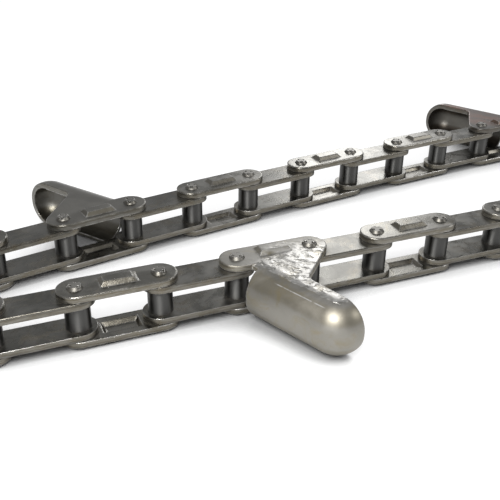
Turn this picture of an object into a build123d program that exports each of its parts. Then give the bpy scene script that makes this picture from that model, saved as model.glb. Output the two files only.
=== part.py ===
"""A length of gathering chain, doubled back on itself: straight-sided links of double pitch, with a
pressed lug on every fourth outer link. Millimetres, +Z up. The chain lies on its side, so every pin
stands upright and z = 0 is the mid-plane between the plates."""
from build123d import *
import math
import os

# Driving dimensions of the chain
pitch = 38.1
roller_diameter = 11.8
inner_width = 13.4              # between the two plates of an inner link
plate_thickness = 3.2
plate_height = 17.0
pin_diameter = 5.95
bush_wall = 1.1
edge_roll = 0.5                 # rounded blanking edge on the outer face of each plate
# Clearances of the fits
pin_clearance = 0.06            # pin in bush, on the radius
roller_clearance = 0.08         # bush in roller, on the radius
roller_end_play = 0.2           # at each end of a roller
plate_gap = 0.35                # between an inner plate and the outer plate beside it
# Riveted pin heads
head_diameter = 7.6
head_height = 1.5
head_slope = 1.0                # how much smaller the head's radius is at its top
stake_diameter = 2.0
stake_depth = 0.8
stake_count = 3
# Pad pressed outwards in the middle of each outer plate
pad_length = 17.0
pad_width = 8.6
pad_height = 2.0
pad_taper = 42.0                # degrees from upright
pocket_length = 18.0
pocket_width = 9.4
pocket_depth = 2.0
# Lug: a wing pressed out of the upper plate, its leading side turned down and in under, and its end
# closed by a round nose
lug_lean = 23.5                 # degrees that the wing leans from square to the link
nose_along = 28.4               # nose centre from the first pin, along the link
nose_out = 48.4                 # nose centre from the pin line, outwards
nose_radius = 14.0
bend_share = 0.95               # share of the wing's width or half height that its round bends take
drawn_wall = 2.2                # sheet thinned where it is drawn down round the wing
web_lap = 0.6                   # web's reach under the wing's top, which hides its rolled rim
foot_clearance = 0.75           # foot above the level that the lower pin heads stand on
rim_back = 2.0                  # rim of the nose's cup behind the nose axis
wing_length = 42.5              # from the nose centre back to the skirt's root end
tongue_width = 6.0              # part of the shoulder that runs on into the link
tongue_length = 4.0
crook_radius = 6.0              # inside corner between link and wing
crook_along = 23.3
crook_out = 29.0
lug_pad_shift = 1.2             # pad moved away from the wing
# How the length lies: turn of each link against the one before it, in degrees
front_pitches = 8
entry_bend = 27.0
hairpin_bend = 70.2
hairpin_bends = 2
rear_bow = 0.7
rear_pitches = 11
lug_spacing = 8                 # pitches from lug to lug
first_lug = 4

# Sizes that follow
bush_bore = pin_diameter + 2 * pin_clearance
bush_diameter = bush_bore + 2 * bush_wall
roller_bore = bush_diameter + 2 * roller_clearance
inner_face = inner_width / 2
inner_top = inner_face + plate_thickness
outer_face = inner_top + plate_gap
outer_top = outer_face + plate_thickness
bush_length = inner_width + 2 * plate_thickness
foot_height = foot_clearance - outer_top - head_height


def link_bends():
    """Turn at each pin between two links, clockwise seen from above."""
    straight = [0.0] * (front_pitches - 1)
    return straight + [entry_bend] + [hairpin_bend] * hairpin_bends + [rear_bow] * rear_pitches


def link_layout():
    """Each link as (x, y, heading): its first pin, and the direction to its second pin in degrees."""
    x, y, heading = 0.0, 0.0, 180.0
    links = [(x, y, heading)]
    for bend in link_bends():
        x += pitch * math.cos(math.radians(heading))
        y += pitch * math.sin(math.radians(heading))
        heading -= bend
        links.append((x, y, heading))
    return links


def pin_points():
    """Centre of every pin position, from the first link's free end to the last link's."""
    links = link_layout()
    x, y, heading = links[-1]
    end = (x + pitch * math.cos(math.radians(heading)), y + pitch * math.sin(math.radians(heading)))
    return [(link[0], link[1]) for link in links] + [end]


def has_lug(index):
    """Whether the outer link of this index carries a lug."""
    return index % lug_spacing == first_lug


def rolled(plate):
    """The plate with the rim of its top face rounded."""
    rim = plate.faces().filter_by(Axis.Z).sort_by(Axis.Z)[-1]
    return fillet(rim.outer_wire().edges(), edge_roll)


def plate_blank(hole_diameter):
    """Straight-sided plate with round ends and two holes, its under face at z = 0."""
    outline = Pos(pitch / 2, 0) * SlotCenterToCenter(pitch, plate_height)
    plate = rolled(extrude(outline, plate_thickness))
    holes = extrude(Circle(hole_diameter / 2) + Pos(pitch, 0) * Circle(hole_diameter / 2), plate_thickness)
    return plate - holes


def bush():
    """Pressed-in tube that joins two inner plates and carries a roller."""
    return Cylinder(bush_diameter / 2, bush_length) - Cylinder(bush_bore / 2, bush_length)


def inner_link():
    """Two plates on two bushes."""
    upper = Pos(0, 0, inner_face) * plate_blank(bush_diameter)
    lower = Rot(180, 0, 0) * upper
    return [upper, lower, bush(), Pos(pitch, 0) * bush()]


def roller():
    """Plain tube turning on a bush."""
    length = inner_width - 2 * roller_end_play
    return Cylinder(roller_diameter / 2, length) - Cylinder(roller_bore / 2, length)


def pin_head():
    """Riveted head with staked pits, its seat at z = 0."""
    top_radius = head_diameter / 2 - head_slope
    align = (Align.CENTER, Align.CENTER, Align.MIN)
    head = Cone(head_diameter / 2, top_radius, head_height, align=align)
    pit = Pos(0, 0, head_height - stake_depth) * Cylinder(stake_diameter / 2, stake_depth, align=align)
    pits = PolarLocations(top_radius - stake_diameter / 4, stake_count) * pit
    return head - pits


def pin():
    """Pin through both outer plates, riveted over at each end."""
    shank = Cylinder(pin_diameter / 2, 2 * outer_top)
    upper = Pos(0, 0, outer_top) * pin_head()
    return shank + upper + Rot(180, 0, 0) * upper


def raised_pad(length, width, height):
    """Low pad with sloping sides on z = 0."""
    return extrude(Rectangle(length, width), height, taper=pad_taper)


def with_pad(plate, shift):
    """The plate with its pad pressed up from a pocket in its under face."""
    middle = Pos(pitch / 2, shift)
    pad = middle * Pos(0, 0, plate_thickness) * raised_pad(pad_length, pad_width, pad_height)
    pocket = middle * raised_pad(pocket_length, pocket_width, pocket_depth)
    return plate + pad - pocket


def outer_plate():
    """Plate of an outer link, its under face at z = 0."""
    return with_pad(plate_blank(pin_diameter), 0)


def hook(top, foot, side):
    """Profile of the pressed wing between two heights, as (distance from the nose axis, height): flat
    top, round shoulder, upright side, and a foot that curls back under."""
    bend = bend_share * min(side, (top - foot) / 2)
    return [
        Line((0, top), (side - bend, top)),
        CenterArc((side - bend, top - bend), bend, 0, 90),
        Line((side, top - bend), (side, foot + bend)),
        CenterArc((side - bend, foot + bend), bend, -90, 90),
        Line((side - bend, foot), (0, foot)),
    ]


def lug_section():
    """Cut through the pressed sheet, across the wing."""
    under = outer_top - plate_thickness
    inside = foot_height + drawn_wall
    ends = [Line((0, outer_top), (0, under)), Line((0, foot_height), (0, inside))]
    outer = hook(outer_top, foot_height, nose_radius)
    inner = hook(under, inside, nose_radius - drawn_wall)
    return make_face(outer + inner + ends)


def wing_plane():
    """Upright plane through the nose axis, square to the wing: x away from the wing's leading side
    is negative, y is up, and its normal runs back along the wing to the link."""
    lean = math.radians(lug_lean)
    leading = (-math.cos(lean), -math.sin(lean), 0)
    back = (-math.sin(lean), math.cos(lean), 0)
    return Plane(origin=(nose_along, -nose_out, 0), x_dir=leading, z_dir=back)


def wing_skirt():
    """Straight stretch of the wing, its leading side turned down and in under."""
    plane = wing_plane()
    wing = extrude(plane * lug_section(), wing_length)
    sheet = Pos(tongue_width / 2, outer_top - plate_thickness / 2) * Rectangle(tongue_width, plate_thickness)
    tongue = extrude(plane * (lug_section() & sheet), wing_length + tongue_length)
    return wing + tongue


def lug_nose():
    """Round end of the wing: the same section turned about the nose axis into a cup, open on its
    trailing side."""
    plane = wing_plane()
    axis = Axis((nose_along, -nose_out, 0), (0, 0, 1))
    cup = revolve(plane * lug_section(), axis, 180)
    size = 4 * nose_radius
    behind = plane * (Pos(-rim_back - size / 2, 0, 0) * Box(size, size, size))
    cup = cup - behind
    rim = cup.faces().sort_by(Axis(plane.origin, plane.x_dir))[0]
    round_the_cup = rim.edges().sort_by(Axis(plane.origin, plane.z_dir))[:-2]
    return fillet(round_the_cup, edge_roll)


def lug_web():
    """Outline of the flat web between the link and the wing."""
    plane = wing_plane()
    nose_lead = plane.from_local_coords((web_lap, 0, 0))
    nose_trail = plane.from_local_coords((-rim_back, 0, 0))
    root_lead = plane.from_local_coords((web_lap, 0, wing_length + tongue_length))
    reach = math.hypot(pitch - crook_along, crook_out)
    to_crook = math.degrees(math.atan2(-crook_out, crook_along - pitch))
    swing = to_crook + math.degrees(math.acos(plate_height / 2 / reach))
    touch = (pitch + plate_height / 2 * math.cos(math.radians(swing)),
             plate_height / 2 * math.sin(math.radians(swing)))
    points = [(nose_lead.X, nose_lead.Y), (nose_trail.X, nose_trail.Y), (crook_along, -crook_out),
              touch, (pitch, 0), (root_lead.X, root_lead.Y)]
    web = make_face(Polyline(*points, close=True))
    crook = web.vertices().sort_by_distance((crook_along, -crook_out))[0]
    return fillet(crook, crook_radius)


def lug():
    """Upper plate of a lug link, its pins at (0, 0) and (pitch, 0) and its wing towards -Y."""
    link = Pos(pitch / 2, 0) * SlotCenterToCenter(pitch, plate_height)
    sheet = rolled(extrude(link + lug_web(), plate_thickness))
    sheet = with_pad(sheet, lug_pad_shift)
    body = Pos(0, 0, outer_face) * sheet + wing_skirt() + lug_nose()
    holes = Cylinder(pin_diameter / 2, 3 * outer_top) + Pos(pitch, 0) * Cylinder(pin_diameter / 2, 3 * outer_top)
    return body - holes


def placed(pieces, x, y, heading):
    """The pieces as one group of separate solids, turned and moved to their link."""
    where = Location((x, y, 0), (0, 0, heading))
    return Compound([where * piece for piece in pieces])


def write(name, shape):
    """One STEP file per sub-part."""
    export_step(shape, os.path.join("parts", name + ".step"))


def build_inner_links(layout):
    pieces = [solid for part in inner_link() for solid in part.solids()]
    for number, index in enumerate(range(1, len(layout), 2), start=1):
        write(f"inner_link_{number:02d}", placed(pieces, *layout[index]))


def build_outer_links(layout):
    upper = (Pos(0, 0, outer_face) * outer_plate()).solids()
    lower = (Rot(180, 0, 0) * Pos(0, 0, outer_face) * outer_plate()).solids()
    lug_turned = Pos(pitch, 0) * Rot(0, 0, 180) * lug()
    rod = pin()
    lugs = 0
    for number, index in enumerate(range(0, len(layout), 2), start=1):
        where = layout[index]
        plates = lower if has_lug(index) else upper + lower
        write(f"outer_plates_{number:02d}", placed(plates, *where))
        if has_lug(index):
            lugs += 1
            write(f"lug_{lugs}", placed(lug_turned.solids(), *where))
        ends = [pitch] if index == 0 else [0, pitch]
        write(f"pins_{number:02d}", placed([Pos(end, 0) * rod for end in ends], *where))


def build_rollers(points):
    tube = roller()
    for number, (x, y) in enumerate(points[1:], start=1):
        write(f"roller_{number:02d}", Pos(x, y) * tube)


def main():
    os.makedirs("parts", exist_ok=True)
    layout = link_layout()
    build_inner_links(layout)
    build_outer_links(layout)
    build_rollers(pin_points())


if __name__ == "__main__":
    main()
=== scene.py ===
import math

import bpy
import numpy as np
from mathutils import Matrix, Vector


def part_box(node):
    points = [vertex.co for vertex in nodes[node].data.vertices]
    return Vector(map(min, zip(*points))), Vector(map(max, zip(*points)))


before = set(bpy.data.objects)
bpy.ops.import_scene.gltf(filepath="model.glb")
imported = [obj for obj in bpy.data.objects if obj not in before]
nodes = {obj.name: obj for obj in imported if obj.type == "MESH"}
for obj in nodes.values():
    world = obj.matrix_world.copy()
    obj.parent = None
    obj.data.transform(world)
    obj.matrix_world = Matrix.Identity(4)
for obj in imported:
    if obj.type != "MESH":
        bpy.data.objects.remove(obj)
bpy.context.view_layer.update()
MM = 0.001

# %% [markdown]
# Every plate of the chain lies at one of four heights, in mirrored pairs about the middle plane. The
# finishes need those heights, for the band along a sheared plate edge and for the top of a lug, so
# they are read from the boxes of the nodes. Two sizes can't be read from a box, the height of a
# riveted head and the thickness of a plate, and repeat the values of the CAD model.
# %% Heights of the plates
head_height = 1.5 * MM
thickness = 3.2 * MM
pin_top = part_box("pins_01")[1][2]
outer_top = pin_top - head_height
inner_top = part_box("inner_link_01")[1][2]
print("pin", pin_top / MM, "outer", outer_top / MM, "inner", inner_top / MM)


# %% [markdown]
# The camera stands to the front and left, above the chain, and looks along both strands with a mild
# perspective. A camera matrix holds three unit vectors, right, up and backwards, so it can be worked
# out from a turn, a dip and a small roll, which is easier to read than Euler angles.
# %% Camera
def camera_matrix(spot, turn, dip, roll):
    """Axes of the camera: forwards is the +Y direction turned towards +X and dipped below level; right is
    forwards cross +Z; up is right cross forwards; then right and up are turned about forwards."""
    ahead = Vector((math.sin(turn) * math.cos(dip), math.cos(turn) * math.cos(dip), -math.sin(dip)))
    right = ahead.cross(Vector((0, 0, 1))).normalized()
    up = right.cross(ahead)
    across = right * math.cos(roll) + up * math.sin(roll)
    upright = up * math.cos(roll) - right * math.sin(roll)
    matrix = Matrix((across, upright, -ahead)).transposed().to_4x4()
    matrix.translation = spot
    return matrix


camera_spot = Vector((-301.93, -283.21, 182.13)) * MM
camera_turn = 0.3951
camera_dip = 0.4961
camera_roll = 0.0131

scene = bpy.context.scene
lens = bpy.data.cameras.new("camera")
lens.sensor_width = 36.0
lens.lens = 53.03
lens.clip_start = 0.01
camera = bpy.data.objects.new("camera", lens)
camera.matrix_world = camera_matrix(camera_spot, camera_turn, camera_dip, camera_roll)
scene.collection.objects.link(camera)
scene.camera = camera
scene.view_settings.view_transform = "Standard"
print("camera at", [round(v / MM) for v in camera.matrix_world.translation])


# %% [markdown]
# Bare steel shows whatever is round it, so the light is built as a room: a grey world, a white floor
# and a few soft boxes. One broad box stands low behind the chain on the right, which makes the flat
# plates bright there and leaves them dark on the left. A small box hangs beside the camera and gives
# each lug its round highlight, and a box at the right lights the far side of the front nose.
# %% Soft light
def soft_box(name, spot, width, height, radiance):
    """Area lamp at a spot, facing the chain. Its power is radiance times pi times its area, which is
    how a flat lamp spreads its light."""
    lamp = bpy.data.lights.new(name, "AREA")
    lamp.shape = "RECTANGLE"
    lamp.size = width
    lamp.size_y = height
    lamp.energy = radiance * math.pi * width * height
    box = bpy.data.objects.new(name, lamp)
    box.matrix_world = spot.to_track_quat("Z", "Y").to_matrix().to_4x4()
    box.matrix_world.translation = spot
    box.visible_camera = False
    scene.collection.objects.link(box)
    print(name, round(lamp.energy, 2), "W at", [round(v, 2) for v in spot])


def seen_from_chain(turn, rise, distance):
    """Spot at a turn from +Y towards +X and a rise above level, both in degrees."""
    turn = math.radians(turn)
    rise = math.radians(rise)
    level = math.cos(rise)
    return Vector((math.sin(turn) * level, math.cos(turn) * level, math.sin(rise))) * distance


soft_box("low_box_right", seen_from_chain(27.0, 25, 2.0), 0.38, 0.9, 5.2)
soft_box("near_box", Vector((-313.0, -186.0, 235.0)) * MM, 0.16, 0.16, 22.0)
soft_box("side_box", seen_from_chain(118, 34, 1.6), 0.45, 0.45, 11.0)

# %% [markdown]
# The world is the rest of the room. A nearly white, dim world fills the shadows from all sides, and
# its faint blue keeps the steel from looking yellow.
# %% World
room = bpy.data.worlds.new("room")
scene.world = room
room.use_nodes = True
sky = room.node_tree.nodes["Background"]
sky.inputs["Color"].default_value = (0.97, 0.98, 1.0, 1.0)
sky.inputs["Strength"].default_value = 0.5
print("world strength", sky.inputs["Strength"].default_value)


# %% [markdown]
# Materials here are node trees. A few small helpers keep the later cells short: they add a node and
# set its values, do one sum, ease a number from one range to another, and mix two colours.
# %% Helpers for node trees
def add(tree, kind, inputs=(), **settings):
    """A node of that kind. inputs holds (socket name or number, value or output) pairs."""
    made = tree.nodes.new(kind)
    for key, value in settings.items():
        setattr(made, key, value)
    for socket, value in inputs:
        if isinstance(value, bpy.types.NodeSocket):
            tree.links.new(value, made.inputs[socket])
        else:
            made.inputs[socket].default_value = value
    return made


def calc(tree, operation, first, second=0.0, clamp=False):
    """One sum on two numbers, as an output."""
    terms = [(0, first), (1, second)]
    return add(tree, "ShaderNodeMath", terms, operation=operation, use_clamp=clamp).outputs[0]


def times(tree, first, second):
    """The product of two numbers, as an output."""
    return calc(tree, "MULTIPLY", first, second)


def ramp(tree, value, low, high, out_low=0.0, out_high=1.0):
    """A number eased from out_low to out_high as value goes from low to high."""
    made = add(tree, "ShaderNodeMapRange", [(0, value), (1, low), (2, high), (3, out_low), (4, out_high)])
    made.interpolation_type = "SMOOTHSTEP"
    return made.outputs[0]


def blend(tree, amount, first, second):
    """Two colours mixed by amount, where a colour is an output or three numbers."""
    colours = [(*value, 1.0) if isinstance(value, tuple) else value for value in (first, second)]
    made = tree.nodes.new("ShaderNodeMix")
    made.data_type = "RGBA"
    for socket, value in zip((0, 6, 7), (amount, *colours)):
        if isinstance(value, bpy.types.NodeSocket):
            tree.links.new(value, made.inputs[socket])
        else:
            made.inputs[socket].default_value = value
    return made.outputs[2]


def height_of(tree, vector):
    """The Z of a vector, as an output."""
    return add(tree, "ShaderNodeSeparateXYZ", [(0, vector)]).outputs["Z"]


print("helpers: add, calc, times, ramp, blend, height_of")


# %% [markdown]
# Effects that several finishes share, such as rubbed edges or grime, are built once as node groups and
# placed in each material with its own values. A group's sockets are made with interface.new_socket.
# %% Helpers for node groups
def new_group(name, inputs, outputs):
    """An empty node group with number inputs of given defaults, and outputs of given kinds."""
    group = bpy.data.node_groups.new(name, "ShaderNodeTree")
    for label, value in inputs:
        socket = group.interface.new_socket(name=label, in_out="INPUT", socket_type="NodeSocketFloat")
        socket.default_value = value
    for label, kind in outputs:
        group.interface.new_socket(name=label, in_out="OUTPUT", socket_type="NodeSocket" + kind)
    print("group", name, "gives", [label for label, kind in outputs])
    return group, group.nodes.new("NodeGroupInput").outputs, group.nodes.new("NodeGroupOutput").inputs


def place(tree, group, **values):
    """The group as a node of a material, with its own values."""
    made = tree.nodes.new("ShaderNodeGroup")
    made.node_tree = group
    for label, value in values.items():
        made.inputs[label].default_value = value
    return made.outputs


# %% [markdown]
# Blanked and pressed edges are rubbed bright first. A Bevel node answers with the normal of a rounded
# edge, and where it differs from the true normal there is an edge: one minus their dot product is the
# mask. Noise breaks it up, because wear is never even.
# %% Rubbed edges
def make_edge_wear():
    """mask = (1 - bevelled normal . true normal) x 8 x noise, and the bevelled normal itself."""
    group, given, result = new_group(
        "edge_wear", [("Radius", 0.5 * MM), ("Breaks", 300.0)], [("Mask", "Float"), ("Normal", "Vector")])
    rounded = add(group, "ShaderNodeBevel", [("Radius", given["Radius"])], samples=6).outputs[0]
    true = add(group, "ShaderNodeNewGeometry").outputs["Normal"]
    both = [(0, rounded), (1, true)]
    dot = add(group, "ShaderNodeVectorMath", both, operation="DOT_PRODUCT").outputs["Value"]
    edge = calc(group, "MULTIPLY", calc(group, "SUBTRACT", 1.0, dot), 8.0, clamp=True)
    where = add(group, "ShaderNodeTexCoord").outputs["Object"]
    noise = add(group, "ShaderNodeTexNoise", [("Vector", where), ("Scale", given["Breaks"]), ("Detail", 3.0)])
    group.links.new(times(group, edge, ramp(group, noise.outputs[0], 0.3, 0.6)), result["Mask"])
    group.links.new(rounded, result["Normal"])
    return group


edge_wear = make_edge_wear()


# %% [markdown]
# Hot-rolled and heat-treated steel is mottled: broad soft clouds from the furnace, and a fine grain
# from scale and shot. One group gives both, as a cloud value and a grain value, so that colour,
# roughness and bump can each take what they need.
# %% Mottle and grain
def make_mottle():
    """clouds = coarse, distorted noise, grain = fine noise, each eased to 0..1."""
    group, given, result = new_group(
        "mottle", [("Cloud Scale", 60.0), ("Grain Scale", 1400.0)],
        [("Clouds", "Float"), ("Grain", "Float")])
    where = add(group, "ShaderNodeTexCoord").outputs["Object"]
    clouds = add(group, "ShaderNodeTexNoise", [
        ("Vector", where), ("Scale", given["Cloud Scale"]), ("Detail", 6.0), ("Roughness", 0.62),
        ("Distortion", 0.6)])
    grain = add(group, "ShaderNodeTexNoise", [
        ("Vector", where), ("Scale", given["Grain Scale"]), ("Detail", 3.0), ("Roughness", 0.6)])
    group.links.new(ramp(group, clouds.outputs[0], 0.3, 0.7), result["Clouds"])
    group.links.new(ramp(group, grain.outputs[0], 0.3, 0.7), result["Grain"])
    return group


mottle = make_mottle()


# %% [markdown]
# Oil and old grease gather where parts meet and turn brown, and the same mask paints shade into every
# closed-in place. An Ambient Occlusion node measures how closed-in a point is; noise decides how far the
# grime and painted shade have crept from there. Loose stains, free of any corner, come from a second noise.
# %% Grime, painted shade and oil
def make_grime_and_shade():
    """grime and painted shade = (1 - openness) eased and broken by noise; stain = patches of coarse noise,
    which start at a lower value as Stains goes up and so cover more."""
    group, given, result = new_group(
        "grime_and_shade", [("Reach", 6 * MM), ("Stains", 0.4)], [("Grime And Shade", "Float"), ("Stain", "Float")])
    reach = [("Distance", given["Reach"])]
    openness = add(group, "ShaderNodeAmbientOcclusion", reach, samples=8).outputs["AO"]
    where = add(group, "ShaderNodeTexCoord").outputs["Object"]
    noise = add(group, "ShaderNodeTexNoise", [("Vector", where), ("Scale", 190.0), ("Detail", 5.0)])
    crept = ramp(group, noise.outputs[0], 0.2, 0.55, 0.45, 1.0)
    # Grime and painted shade: darker where a point is closed in.
    group.links.new(times(group, ramp(group, openness, 0.85, 0.25), crept), result["Grime And Shade"])

    patches = add(group, "ShaderNodeTexNoise", [
        ("Vector", where), ("Scale", 75.0), ("Detail", 7.0), ("Roughness", 0.68), ("Distortion", 1.2)])
    start = calc(group, "SUBTRACT", 0.72, times(group, given["Stains"], 0.4))
    end = calc(group, "ADD", start, 0.14)
    eased = add(group, "ShaderNodeMapRange", [(0, patches.outputs[0]), (1, start), (2, end)])
    group.links.new(eased.outputs[0], result["Stain"])
    return group


grime_and_shade = make_grime_and_shade()


# %% [markdown]
# A plate is cut by a punch: the blade burnishes the first third of the edge, then the metal tears and
# leaves a duller band that holds oil. The band depends on height only, so the group compares a
# point's distance from the middle plane with the two faces of its plate. The height is bent by a
# little noise, since a tear is ragged. Slanted faces, the flanks of pads and pockets, are marked too:
# oil bakes brown where the metal was stretched.
# %% Sheared edges
def make_cut_edge():
    """side = 1 where the surface stands upright; torn = 1 on the part of a side that tore, which starts
    a third of the way from the outer face to the inner one; line = 1 where the two parts meet; streaks
    = noise squeezed 9 to 1 in height, the marks that the punch draws along a side; slant = 1 on a face
    that leans between 25 and 70 degrees."""
    group, given, result = new_group(
        "cut_edge", [("Face", 13.5 * MM), ("Thickness", 3.2 * MM)],
        [("Slant", "Float"), ("Torn", "Float"), ("Line", "Float"), ("Streaks", "Float")])
    source = add(group, "ShaderNodeTexCoord").outputs
    flatness = calc(group, "ABSOLUTE", height_of(group, source["Normal"]))
    side = ramp(group, flatness, 0.6, 0.25)
    slant = times(group, ramp(group, flatness, 0.34, 0.5), ramp(group, flatness, 0.92, 0.84))
    group.links.new(slant, result["Slant"])

    height = calc(group, "ABSOLUTE", height_of(group, source["Object"]))
    depth = calc(group, "DIVIDE", calc(group, "SUBTRACT", given["Face"], height), given["Thickness"])
    noise = add(group, "ShaderNodeTexNoise", [
        ("Vector", source["Object"]), ("Scale", 260.0), ("Detail", 4.0)]).outputs[0]
    ragged = calc(group, "ADD", depth, times(group, calc(group, "SUBTRACT", noise, 0.5), 0.35))
    group.links.new(times(group, ramp(group, ragged, 0.32, 0.5), side), result["Torn"])
    line = times(group, ramp(group, ragged, 0.3, 0.38), ramp(group, ragged, 0.5, 0.42))
    group.links.new(times(group, line, side), result["Line"])

    squeezed = add(group, "ShaderNodeMapping", [
        ("Vector", source["Object"]), ("Scale", (1.0, 1.0, 9.0))]).outputs[0]
    drawn = add(group, "ShaderNodeTexNoise", [
        ("Vector", squeezed), ("Scale", 150.0), ("Detail", 5.0), ("Roughness", 0.65)]).outputs[0]
    on_plate = times(group, side, ramp(group, depth, 1.4, 1.1))
    group.links.new(times(group, ramp(group, drawn, 0.38, 0.62), on_plate), result["Streaks"])
    return group


cut_edge = make_cut_edge()


# %% [markdown]
# A lug is pressed hot and then knocked straight, so its top carries shallow hammer marks, bright scuffs
# and fine scratches as far as the start of the bend. Along the bend runs one thin bright line of painted
# highlight. Both are bounded by height. Marks are a Voronoi pattern taken smoothly; scratches are noise
# stretched hard along one direction.
# %% Hammer marks, scratches and a painted highlight line
def make_scuffs_and_highlight():
    """marks = smooth distance to scattered points, drawn out 2 to 1; scratches = thin ridges of noise
    stretched 14 to 1 along a turn; top = 1 above a ragged level; line = a painted highlight, 1 within a
    tenth of a millimetre of 1.9 mm under that level, where the surface leans."""
    group, given, result = new_group(
        "scuffs_and_highlight", [("Mark Scale", 330.0), ("Scratch Scale", 90.0), ("Turn", 0.4), ("Level", 12.9 * MM)],
        [("Marks", "Float"), ("Scratches", "Float"), ("Top", "Float"), ("Line", "Float")])
    source = add(group, "ShaderNodeTexCoord").outputs
    where = source["Object"]
    wobble = add(group, "ShaderNodeTexNoise", [("Vector", where), ("Scale", 160.0), ("Detail", 3.0)]).outputs
    add_marks(group, given, result, where, wobble)
    add_levels(group, given, result, source, wobble)
    return group


def add_marks(group, given, result, where, wobble):
    """The two patterns of the group, laid along its turn; the points of the marks stray by up to 9 mm."""
    stray = (9 * MM, 9 * MM, 9 * MM)
    shift = add(group, "ShaderNodeVectorMath", [(0, wobble["Color"]), (1, stray)], operation="MULTIPLY")
    turned = add(group, "ShaderNodeVectorRotate", [("Vector", where), ("Angle", given["Turn"])],
                 rotation_type="Z_AXIS").outputs[0]
    moved = add(group, "ShaderNodeVectorMath", [(0, turned), (1, shift.outputs[0])], operation="ADD")
    drawn = add(group, "ShaderNodeMapping", [("Vector", moved.outputs[0]), ("Scale", (0.5, 1.0, 1.0))])
    cells = add(group, "ShaderNodeTexVoronoi", [
        ("Vector", drawn.outputs[0]), ("Scale", given["Mark Scale"]), ("Smoothness", 0.6)],
        feature="SMOOTH_F1")
    group.links.new(ramp(group, cells.outputs["Distance"], 0.1, 0.7), result["Marks"])
    stretched = add(group, "ShaderNodeMapping", [("Vector", turned), ("Scale", (1.0, 14.0, 14.0))])
    streaks = add(group, "ShaderNodeTexNoise", [
        ("Vector", stretched.outputs[0]), ("Scale", given["Scratch Scale"]), ("Detail", 5.0),
        ("Roughness", 0.7)])
    group.links.new(ramp(group, streaks.outputs[0], 0.54, 0.66), result["Scratches"])


def add_levels(group, given, result, source, wobble):
    """The top and the painted highlight line of the group, from height, lean and a little noise."""
    drop = 1.9 * MM
    height = height_of(group, source["Object"])
    tilt = height_of(group, source["Normal"])
    ragged = times(group, calc(group, "SUBTRACT", wobble[0], 0.5), 0.9 * MM)
    above = calc(group, "SUBTRACT", calc(group, "ADD", height, ragged), given["Level"])
    group.links.new(ramp(group, above, -0.1 * MM, 0.1 * MM), result["Top"])
    under = calc(group, "SUBTRACT", height, given["Level"])
    off_line = calc(group, "ABSOLUTE", calc(group, "ADD", under, drop))
    on_line = ramp(group, off_line, 0.22 * MM, 0.06 * MM)
    leaning = times(group, ramp(group, tilt, 0.66, 0.72), ramp(group, tilt, 0.94, 0.9))
    broken = ramp(group, wobble[0], 0.36, 0.5)
    group.links.new(times(group, times(group, on_line, leaning), broken), result["Line"])


scuffs_and_highlight = make_scuffs_and_highlight()

# %% [markdown]
# Every steel here is one stack of layers, and a finish is only its own numbers. Most numbers are alike
# in all of them, so they stand here once, as a plain steel, and each finish names what differs.
# %% Numbers of a plain steel
PLAIN = {
    "torn_tint": (0.22, 0.207, 0.177),  # colour where a sheared edge tore
    "bright": (0.55, 0.54, 0.52),       # colour of rubbed edges and scratches
    "stains": 0.4,                      # how far loose stains spread
    # Grime and painted shade creep together, as far from a corner as the next number says.
    "reach": 6 * MM,                    # how far grime creeps from a corner
    "wear": 0.6,                        # how bright rubbed edges are
    "wear_radius": 0.6 * MM,            # how wide rubbed edges are
    "bump": 0.25,                       # depth of clouds, grain and streaks
    "baked": 0.5,                       # share of brown on slanted faces
    "knocked": (0.0, 0.0, 0.0),         # middle of the knocked patch
    "scuffed": 0.0,                     # share of bright scratches on the patch
    # The next number also sets the share of the painted highlight line along a lug's bend.
    "marked": 0.0,                      # depth of hammer marks on the patch
    "rusted": 0.0,                      # share of rust on the patch
    "filmed": 0.0,                      # weight of a clear film of oil
}
RUST = (0.1, 0.042, 0.022)
print(len(PLAIN), "numbers of a plain steel")


# %% [markdown]
# First come the masks. The knocked patch is the flat top of a piece near one spot, so that hammer
# marks and rust lie on the link of a lug and fade before its nose. The patch starts just under the
# top face, where the sheet begins to bend.
# %% Masks of a steel
def make_masks(tree, look):
    """Every mask by name. patch = top x (1 within 24 mm of the spot, 0 past 38 mm); hammered, scratched
    and rust = patch x marks, scratches and clouds; worn = the greater of rubbed edge and a painted highlight
    line along the bend, and that line ends 26 mm from the spot."""
    bend_start = 0.55 * MM
    edge = place(tree, edge_wear, Radius=look["wear_radius"])
    cloud = place(tree, mottle)
    dirt_and_shade = place(tree, grime_and_shade, Reach=look["reach"], Stains=look["stains"])
    cut = place(tree, cut_edge, Face=look["face"], Thickness=thickness)
    scuff_and_highlight = place(tree, scuffs_and_highlight, Level=look["face"] - bend_start)
    masks = {output.name: output for part in (edge, cloud, dirt_and_shade, cut) for output in part}

    where = add(tree, "ShaderNodeTexCoord").outputs["Object"]
    spot = [(0, where), (1, look["knocked"])]
    away = add(tree, "ShaderNodeVectorMath", spot, operation="DISTANCE").outputs["Value"]
    patch = times(tree, scuff_and_highlight["Top"], ramp(tree, away, 38 * MM, 24 * MM))
    rust_range = (0.4 * look["rusted"], look["rusted"])
    # Painted highlight: a thin bright line along the bend, gone 26 mm from the spot.
    painted_highlight_line = times(tree, scuff_and_highlight["Line"], ramp(tree, away, 26 * MM, 23.5 * MM))
    masks["Patch"] = patch
    masks["Hammered"] = times(tree, patch, scuff_and_highlight["Marks"])
    masks["Scratched"] = times(tree, patch, scuff_and_highlight["Scratches"])
    masks["Rust"] = times(tree, patch, ramp(tree, cloud["Clouds"], 0.1, 0.7, *rust_range))
    masks["Worn And Highlit"] = calc(tree, "MAXIMUM", times(tree, edge["Mask"], look["wear"]),
                         times(tree, painted_highlight_line, look["marked"]))
    return masks


# %% [markdown]
# Then the colour is laid on in the order in which a real piece gets it, from the metal outwards: furnace
# clouds and grain, sheared edges, baked oil, loose stains, rust, the blows that scrape all of that off, grime
# and painted shade in the corners, and last the bright rubbed edges and a lug's painted highlight line.
# %% Layers of colour
def darker(colour, share):
    """A share of a colour."""
    return tuple(share * value for value in colour)


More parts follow.
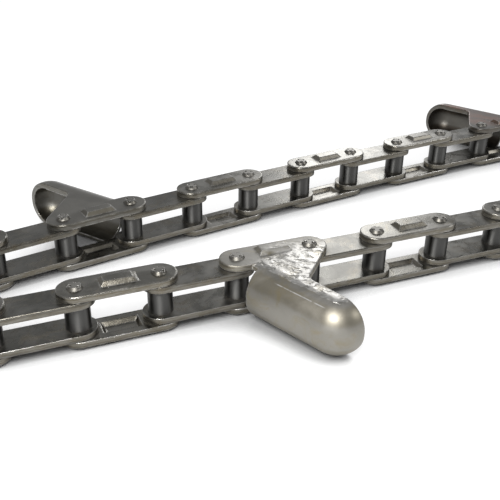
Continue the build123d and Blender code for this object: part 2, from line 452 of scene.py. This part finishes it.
def steel_colour(tree, masks, look):
    """Each layer is a mask, its share and the colour that it brings."""
    dark = look["dark"]
    oil = look["oil"]
    bright = look["bright"]
    colour = blend(tree, masks["Clouds"], dark, look["light"])
    for mask, share, brought in (
            ("Grain", 0.25, dark),
            ("Torn", 0.6, look["torn_tint"]),
            ("Streaks", 0.5, darker(oil, 0.9)),
            ("Line", 0.5, oil),
            ("Slant", look["baked"], oil),
            ("Stain", 0.55, oil),
            ("Rust", 1.0, RUST),
            ("Hammered", look["marked"] * 0.6, bright),
            ("Scratched", look["scuffed"], bright),
            # Grime and painted shade, a nearly black brown.
            ("Grime And Shade", 0.75, darker(oil, 0.35)),
            # Rubbed edges, and the painted highlight line along a lug's bend.
            ("Worn And Highlit", 1.0, bright)):
        colour = blend(tree, times(tree, masks[mask], share), colour, brought)
    return colour


# %% [markdown]
# Metal is a Principled BSDF with Metallic at 1. Grime and painted shade, stains and rust are not metal, so
# they lower Metallic where they lie. They change roughness too: a torn edge and grime with painted shade
# are duller, while oil, rubbing and the painted highlight line make the surface smoother.
# %% Metal and roughness
def take(tree, start, masks, shares):
    """start plus each mask times its share, kept within 0..1; a share below 0 takes away."""
    total = start
    for mask, share in shares:
        total = calc(tree, "ADD", total, times(tree, masks[mask], share), clamp=True)
    return total


def steel_metal(tree, masks):
    """1 less grime and painted shade, rust and stain."""
    return take(tree, 1.0, masks, [("Grime And Shade", -0.5), ("Rust", -0.8), ("Stain", -0.25)])


def steel_roughness(tree, masks, look):
    """The range of the finish, moved by each mask."""
    clouded = ramp(tree, masks["Clouds"], 0.0, 1.0, *look["rough"])
    return take(tree, clouded, masks, [
        ("Torn", 0.1), ("Grime And Shade", 0.2), ("Stain", -0.1), ("Worn And Highlit", -0.12), ("Patch", -0.14 * look["marked"])])


# %% [markdown]
# Height comes last. Two Bump nodes stand in a row, because fine grain and hammer marks differ so much
# in depth: the first is a tenth of a millimetre at most, the second a quarter. The first one starts
# from the bevelled normal, which rounds every edge a little in the light.
# %% Relief
def steel_normal(tree, masks, look):
    """Grain and clouds raise the surface, scratches and streaks cut it, and hammer marks dent it."""
    relief = times(tree, masks["Grain"], 0.35)
    for mask, share in (("Clouds", 0.5), ("Scratched", -0.5 * look["scuffed"]), ("Streaks", -0.5)):
        relief = calc(tree, "ADD", relief, times(tree, masks[mask], share))
    raised = add(tree, "ShaderNodeBump", [
        ("Strength", look["bump"]), ("Distance", 0.1 * MM), ("Height", relief),
        ("Normal", masks["Normal"])])
    beaten = add(tree, "ShaderNodeBump", [
        ("Strength", look["marked"]), ("Distance", 0.25 * MM), ("Height", masks["Hammered"]),
        ("Normal", raised.outputs[0])])
    return beaten.outputs[0]


# %% [markdown]
# One function joins the layers to the shader. A film of oil is the shader's own coat: clear, a little
# rough and the same all over, so its numbers are set on the sockets. A second function puts a finish
# into the slots of the pieces, which leaves their meshes as they came.
# %% One finish
def steel(name, face, dark, light, oil, rough, **numbers):
    """A steel finish: face is the height of the plate's outer face, dark and light are the two colours
    of the clouds, oil the colour of stains and grime, rough the range of roughness, and numbers what
    differs from a plain steel."""
    look = {**PLAIN, **numbers, "face": face, "dark": dark, "light": light, "oil": oil, "rough": rough}
    material = bpy.data.materials.new(name)
    material.use_nodes = True
    tree = material.node_tree
    masks = make_masks(tree, look)
    shader = tree.nodes["Principled BSDF"]
    tree.links.new(steel_colour(tree, masks, look), shader.inputs["Base Color"])
    tree.links.new(steel_metal(tree, masks), shader.inputs["Metallic"])
    tree.links.new(steel_roughness(tree, masks, look), shader.inputs["Roughness"])
    tree.links.new(steel_normal(tree, masks, look), shader.inputs["Normal"])
    shader.inputs["Coat Weight"].default_value = look["filmed"]
    shader.inputs["Coat Roughness"].default_value = 0.32
    return material


def dress(material, start):
    """The material in every slot of the nodes whose names begin with start."""
    names = [name for name in nodes if name.startswith(start)]
    for name in names:
        mesh = nodes[name].data
        for number in range(len(mesh.materials)):
            mesh.materials[number] = material
    print(material.name, "on", len(names), "nodes")


# %% [markdown]
# The plates are plain dark steel, a little olive where oil has dried on them. Outer and inner plates
# differ in the height of their faces and slightly in colour, since the inner ones are rubbed less, so
# each kind gets a finish of its own.
# %% Plates
outer_steel = steel(
    "outer_plate_steel", face=outer_top, dark=(0.135, 0.13, 0.113), light=(0.25, 0.243, 0.225),
    oil=(0.11, 0.09, 0.055), rough=(0.22, 0.36), wear=0.8, wear_radius=1.1 * MM, baked=0.35)
inner_steel = steel(
    "inner_link_steel", face=inner_top, dark=(0.10, 0.098, 0.088), light=(0.2, 0.195, 0.18),
    oil=(0.09, 0.074, 0.048), rough=(0.24, 0.38), stains=0.55)
dress(outer_steel, "outer_plates")
dress(inner_steel, "inner_link")

# %% [markdown]
# Rollers are case-hardened and blackened, blue-grey and satin, with hardly any oil on their faces. They
# are turned on a lathe, so fine rings run round them and draw every highlight out along the axis: the
# Tangent node gives the way round, and a quarter turn of Anisotropic Rotation lays the stretch across
# it.
# %% Rollers
roller_steel = steel(
    "roller_steel", face=inner_top, dark=(0.074, 0.073, 0.071), light=(0.122, 0.121, 0.117),
    oil=(0.07, 0.06, 0.045), rough=(0.3, 0.38), stains=0.15, wear=0.2,
    torn_tint=(0.09, 0.089, 0.085), bump=0.06)
roller_tree = roller_steel.node_tree
roller_shader = roller_tree.nodes["Principled BSDF"]
around = add(roller_tree, "ShaderNodeTangent", direction_type="RADIAL", axis="Z").outputs[0]
roller_tree.links.new(around, roller_shader.inputs["Tangent"])
roller_shader.inputs["Anisotropic"].default_value = 0.9
roller_shader.inputs["Anisotropic Rotation"].default_value = 0.25
dress(roller_steel, "roller")

# %% [markdown]
# The pins are bare at their riveted ends. Their grime and painted shade are nearly black and reach less
# than 2 mm, so their staked pits go dark.
# %% Pins
pin_steel = steel(
    "pin_steel", face=pin_top, dark=(0.16, 0.155, 0.14), light=(0.3, 0.29, 0.27),
    oil=(0.04, 0.034, 0.024), rough=(0.38, 0.5), wear_radius=0.3 * MM, reach=1.8 * MM)
dress(pin_steel, "pins")

# %% [markdown]
# The three lugs have aged apart: the front one is scuffed bright on top and satin grey on its skirt,
# the middle one is dark and oily, and the far one has begun to rust on its flat part. Three unlike
# materials would say the same thing three times, so they are one finish with three sets of numbers.
# The blows on the front lug lie about one spot, where its wing leaves its link.
# %% Lugs
front_blows = (-160 * MM, -28 * MM, 13.4 * MM)
lug_bright = steel(
    "lug_steel_scuffed", face=outer_top, dark=(0.2, 0.192, 0.17), light=(0.31, 0.3, 0.278),
    oil=(0.17, 0.14, 0.075), rough=(0.44, 0.52), stains=0.5, wear=0.7, wear_radius=1.0 * MM,
    scuffed=0.7, marked=0.9, baked=0.3, torn_tint=(0.29, 0.278, 0.247), bright=(0.6, 0.59, 0.57),
    knocked=front_blows)
lug_oiled = steel(
    "lug_steel_oiled", face=outer_top, dark=(0.1, 0.094, 0.078), light=(0.17, 0.163, 0.143),
    oil=(0.08, 0.068, 0.042), rough=(0.36, 0.46), stains=0.3, wear=0.8, wear_radius=1.0 * MM,
    scuffed=0.05, torn_tint=(0.2, 0.195, 0.18), reach=2 * MM, filmed=0.5)
far_middle = [(low + high) / 2 for low, high in zip(*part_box("lug_3"))]
lug_rusty = steel(
    "lug_steel_rusty", face=outer_top, dark=(0.06, 0.057, 0.05), light=(0.11, 0.104, 0.093),
    oil=(0.08, 0.062, 0.042), rough=(0.32, 0.46), stains=0.5, wear_radius=0.8 * MM, scuffed=0.1,
    torn_tint=(0.15, 0.142, 0.125), reach=2 * MM, knocked=(*far_middle[:2], outer_top), rusted=1.0,
    filmed=0.3)
dress(lug_bright, "lug_1")
dress(lug_oiled, "lug_2")
dress(lug_rusty, "lug_3")


# %% [markdown]
# The floor is a wide sheet of white paper, a disc whose height is that of the lowest pin heads. It
# could be a plane, but a disc has no corner that shows when the camera goes round.
# %% Floor
def paper_disc(radius, level, rings=24, spokes=96):
    """Grid in polar form: x = radius x s x cos(a), y = radius x s x sin(a), with s squared steps from the
    middle to the rim and a round the circle, closed by one middle point."""
    reach = radius * np.linspace(0, 1, rings + 1)[1:] ** 2
    angle = np.linspace(0, 2 * math.pi, spokes, endpoint=False)
    flat = np.stack([np.outer(reach, np.cos(angle)), np.outer(reach, np.sin(angle))], axis=-1)
    flat = flat.reshape(-1, 2)
    points = np.vstack([np.zeros((1, 3)), np.column_stack([flat, np.zeros(len(flat))])])
    points[:, 2] = level
    spoke = np.arange(spokes)
    after = (spoke + 1) % spokes
    middle = np.stack([np.zeros(spokes, int), 1 + spoke, 1 + after], axis=-1).tolist()
    start = 1 + spokes * np.arange(rings - 1)[:, None]
    quads = np.stack(
        [start + spoke, start + spokes + spoke, start + spokes + after, start + after], axis=-1)
    mesh = bpy.data.meshes.new("floor")
    mesh.from_pydata(points.tolist(), [], middle + quads.reshape(-1, 4).tolist())
    return mesh


floor = bpy.data.objects.new("floor", paper_disc(6.0, -pin_top))
scene.collection.objects.link(floor)
print("floor at", round(-pin_top / MM, 2), "mm,", len(floor.data.polygons), "faces")

# %% [markdown]
# Of what the camera and the steel see of the paper, seven tenths are plain white light with a painted
# shadow where the chain closes over it, and the rest is lit paper. So the chain's soft shadow is partly
# painted and partly cast, the background stays white and the steel mirrors that same white, while all
# other light meets plain paper.
# %% Paper
white_share = 0.7
white_light = 1.22
paper = bpy.data.materials.new("paper")
paper.use_nodes = True
tree = paper.node_tree
tree.nodes.remove(tree.nodes["Principled BSDF"])
lit = add(tree, "ShaderNodeBsdfDiffuse", [("Color", (0.93, 0.93, 0.93, 1.0))]).outputs[0]
openness = add(tree, "ShaderNodeAmbientOcclusion", [("Distance", 50 * MM)], samples=12).outputs["AO"]
# Painted shadow: the white light fades where the chain closes over the paper.
white_with_painted_shadow = ramp(tree, openness, 0.28, 0.78, 0.0, white_light)
glow = add(tree, "ShaderNodeEmission", [("Strength", white_with_painted_shadow)]).outputs[0]
path = add(tree, "ShaderNodeLightPath").outputs
seen = calc(tree, "MAXIMUM", path["Is Camera Ray"], path["Is Glossy Ray"])
seen = calc(tree, "MAXIMUM", seen, path["Is Transmission Ray"])
mix = add(tree, "ShaderNodeMixShader", [(0, times(tree, seen, white_share)), (1, lit), (2, glow)])
tree.links.new(mix.outputs[0], tree.nodes["Material Output"].inputs["Surface"])
floor.data.materials.append(paper)
print("paper:", white_share, "of white light at", white_light)
